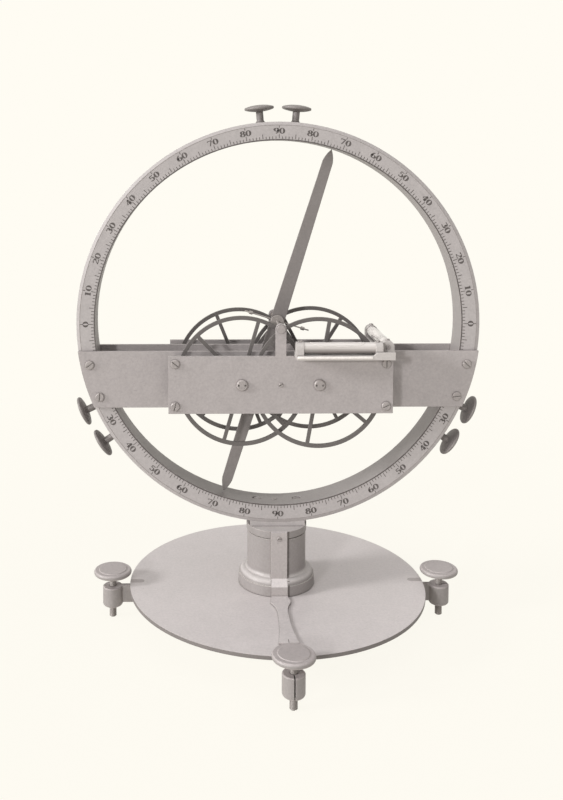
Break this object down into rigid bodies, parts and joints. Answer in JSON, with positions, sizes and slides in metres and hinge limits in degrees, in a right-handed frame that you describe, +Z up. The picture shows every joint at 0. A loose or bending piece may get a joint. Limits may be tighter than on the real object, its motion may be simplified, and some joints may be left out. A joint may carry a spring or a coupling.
{
  "type": "dip circle",
  "caption": "Dip circle: a magnetic needle swings on friction wheels inside an upright divided circle that turns on a levelled base plate.",
  "frame": {"origin": "on the floor under the vertical axis, centre of the foot screws' tips", "axes": "+Z up, the dial faces -Y, +X to the right of someone facing the dial"},
  "size_m": [0.3394, 0.312, 0.4373],
  "materials": {
    "plate_metal": "satin",
    "circle_metal": "satin",
    "column_metal": "satin",
    "bar_metal": "satin",
    "foot_metal": "satin",
    "thread_metal": "satin",
    "screw_metal": "satin",
    "thumb_metal": "satin",
    "wheel_metal": "satin",
    "arbor_metal": "polished",
    "needle_metal": "satin",
    "axle_metal": "polished",
    "stone": "polished",
    "level_metal": "satin",
    "vial_glass": "clear"
  },
  "bodies": {
    "base": {"base_plate": "plate_metal", "spindle": "column_metal", "spindle_nut": "column_metal", "spindle_cap": "column_metal", "foot_bracket_right": "foot_metal", "foot_bracket_rear": "foot_metal", "foot_bracket_left": "foot_metal", "foot_bracket_front": "foot_metal"},
    "alidade": {"column": "column_metal", "index": "column_metal", "index_screw": "screw_metal", "circle_saddle": "circle_metal", "ring_screws": "screw_metal", "divided_circle": "circle_metal", "front_bar": "bar_metal", "rear_bar": "bar_metal", "bar_screws": "screw_metal", "bar_bushes": "bar_metal", "front_cheek": "bar_metal", "rear_cheek": "bar_metal", "cheek_pillars": "bar_metal", "cheek_screws": "screw_metal", "bearing_caps": "screw_metal", "pivot_bosses": "screw_metal", "agate_stops": "stone", "front_level_rail": "level_metal", "cross_level_rail": "level_metal", "level_end_caps": "level_metal", "front_level_vial": "vial_glass", "cross_level_vial": "vial_glass", "level_screws": "screw_metal"},
    "needle": {"needle": "needle_metal", "needle_axle": "axle_metal", "balance_cross": "axle_metal"},
    "wheel_front_left": {"friction_wheel_front_left": "wheel_metal", "wheel_arbor_front_left": "arbor_metal"},
    "wheel_front_right": {"friction_wheel_front_right": "wheel_metal", "wheel_arbor_front_right": "arbor_metal"},
    "wheel_rear_left": {"friction_wheel_rear_left": "wheel_metal", "wheel_arbor_rear_left": "arbor_metal"},
    "wheel_rear_right": {"friction_wheel_rear_right": "wheel_metal", "wheel_arbor_rear_right": "arbor_metal"},
    "balance_button_1": {"balance_button_1": "axle_metal"},
    "balance_button_2": {"balance_button_2": "axle_metal"},
    "balance_button_3": {"balance_button_3": "axle_metal"},
    "balance_button_4": {"balance_button_4": "axle_metal"},
    "foot_screw_right": {"foot_screw_right": "thread_metal"},
    "foot_knob_right": {"foot_knob_right": "foot_metal"},
    "foot_screw_rear": {"foot_screw_rear": "thread_metal"},
    "foot_knob_rear": {"foot_knob_rear": "foot_metal"},
    "foot_screw_left": {"foot_screw_left": "thread_metal"},
    "foot_knob_left": {"foot_knob_left": "foot_metal"},
    "foot_screw_front": {"foot_screw_front": "thread_metal"},
    "foot_knob_front": {"foot_knob_front": "foot_metal"},
    "thumbscrew_1": {"thumbscrew_1": "thumb_metal"},
    "thumbscrew_2": {"thumbscrew_2": "thumb_metal"},
    "thumbscrew_3": {"thumbscrew_3": "thumb_metal"},
    "thumbscrew_4": {"thumbscrew_4": "thumb_metal"},
    "thumbscrew_5": {"thumbscrew_5": "thumb_metal"},
    "thumbscrew_6": {"thumbscrew_6": "thumb_metal"}
  },
  "joints": [
    {"name": "azimuth_turn", "type": "hinge", "parent": "base", "child": "alidade", "pos_m": [0, 0, 0.0303], "axis": [0, 0, 1], "continuous": true},
    {"name": "needle_swing", "type": "hinge", "parent": "alidade", "child": "needle", "pos_m": [0, 0, 0.2543], "axis": [0, 1, 0], "range_deg": [-86, 72]},
    {"name": "wheel_front_left_roll", "type": "hinge", "parent": "alidade", "child": "wheel_front_left", "pos_m": [-0.0315, -0.0215, 0.20848], "axis": [0, 1, 0], "range_deg": [-2, 2]},
    {"name": "wheel_front_right_roll", "type": "hinge", "parent": "alidade", "child": "wheel_front_right", "pos_m": [0.0315, -0.028, 0.20848], "axis": [0, 1, 0], "range_deg": [-2, 2]},
    {"name": "wheel_rear_left_roll", "type": "hinge", "parent": "alidade", "child": "wheel_rear_left", "pos_m": [-0.0315, 0.0215, 0.20848], "axis": [0, 1, 0], "range_deg": [-2, 2]},
    {"name": "wheel_rear_right_roll", "type": "hinge", "parent": "alidade", "child": "wheel_rear_right", "pos_m": [0.0315, 0.028, 0.20848], "axis": [0, 1, 0], "range_deg": [-2, 2]},
    {"name": "balance_button_1_slide", "type": "slide", "parent": "needle", "child": "balance_button_1", "axis": [0.2974, 0, 0.9548], "range_m": [-0.003, 0.003]},
    {"name": "balance_button_2_slide", "type": "slide", "parent": "needle", "child": "balance_button_2", "axis": [0.9548, 0, -0.2974], "range_m": [-0.003, 0.003]},
    {"name": "balance_button_3_slide", "type": "slide", "parent": "needle", "child": "balance_button_3", "axis": [-0.2974, 0, -0.9548], "range_m": [-0.003, 0.003]},
    {"name": "balance_button_4_slide", "type": "slide", "parent": "needle", "child": "balance_button_4", "axis": [-0.9548, 0, 0.2974], "range_m": [-0.003, 0.003]},
    {"name": "foot_screw_right_travel", "type": "slide", "parent": "base", "child": "foot_screw_right", "axis": [0, 0, 1], "range_m": [-0.005, 0.005]},
    {"name": "foot_knob_right_turn", "type": "hinge", "parent": "foot_screw_right", "child": "foot_knob_right", "pos_m": [0.14, 0, 0.0368], "axis": [0, 0, 1], "range_deg": [-1800, 1800]},
    {"name": "foot_screw_rear_travel", "type": "slide", "parent": "base", "child": "foot_screw_rear", "axis": [0, 0, 1], "range_m": [-0.005, 0.005]},
    {"name": "foot_knob_rear_turn", "type": "hinge", "parent": "foot_screw_rear", "child": "foot_knob_rear", "pos_m": [0, 0.14, 0.0368], "axis": [0, 0, 1], "range_deg": [-1800, 1800]},
    {"name": "foot_screw_left_travel", "type": "slide", "parent": "base", "child": "foot_screw_left", "axis": [0, 0, 1], "range_m": [-0.005, 0.005]},
    {"name": "foot_knob_left_turn", "type": "hinge", "parent": "foot_screw_left", "child": "foot_knob_left", "pos_m": [-0.14, 0, 0.0368], "axis": [0, 0, 1], "range_deg": [-1800, 1800]},
    {"name": "foot_screw_front_travel", "type": "slide", "parent": "base", "child": "foot_screw_front", "axis": [0, 0, 1], "range_m": [-0.005, 0.005]},
    {"name": "foot_knob_front_turn", "type": "hinge", "parent": "foot_screw_front", "child": "foot_knob_front", "pos_m": [0, -0.14, 0.0368], "axis": [0, 0, 1], "range_deg": [-1800, 1800]},
    {"name": "thumbscrew_1_travel", "type": "slide", "parent": "alidade", "child": "thumbscrew_1", "axis": [0.0872, 0, 0.9962], "range_m": [0, 0.004]},
    {"name": "thumbscrew_2_travel", "type": "slide", "parent": "alidade", "child": "thumbscrew_2", "axis": [-0.0872, 0, 0.9962], "range_m": [0, 0.004]},
    {"name": "thumbscrew_3_travel", "type": "slide", "parent": "alidade", "child": "thumbscrew_3", "axis": [-0.9063, 0, -0.4226], "range_m": [0, 0.004]},
    {"name": "thumbscrew_4_travel", "type": "slide", "parent": "alidade", "child": "thumbscrew_4", "axis": [-0.8192, 0, -0.5736], "range_m": [0, 0.004]},
    {"name": "thumbscrew_5_travel", "type": "slide", "parent": "alidade", "child": "thumbscrew_5", "axis": [0.8192, 0, -0.5736], "range_m": [0, 0.004]},
    {"name": "thumbscrew_6_travel", "type": "slide", "parent": "alidade", "child": "thumbscrew_6", "axis": [0.9063, 0, -0.4226], "range_m": [0, 0.004]}
  ],
  "couplings": [
    {"joint": "wheel_front_left_roll", "follows": "needle_swing", "ratio": -0.02214},
    {"joint": "wheel_front_right_roll", "follows": "needle_swing", "ratio": -0.02214},
    {"joint": "wheel_rear_left_roll", "follows": "needle_swing", "ratio": -0.02214},
    {"joint": "wheel_rear_right_roll", "follows": "needle_swing", "ratio": -0.02214},
    {"joint": "foot_screw_right_travel", "follows": "foot_knob_right_turn", "m_per_rad": 0.00015915},
    {"joint": "foot_screw_rear_travel", "follows": "foot_knob_rear_turn", "m_per_rad": 0.00015915},
    {"joint": "foot_screw_left_travel", "follows": "foot_knob_left_turn", "m_per_rad": 0.00015915},
    {"joint": "foot_screw_front_travel", "follows": "foot_knob_front_turn", "m_per_rad": 0.00015915}
  ]
}
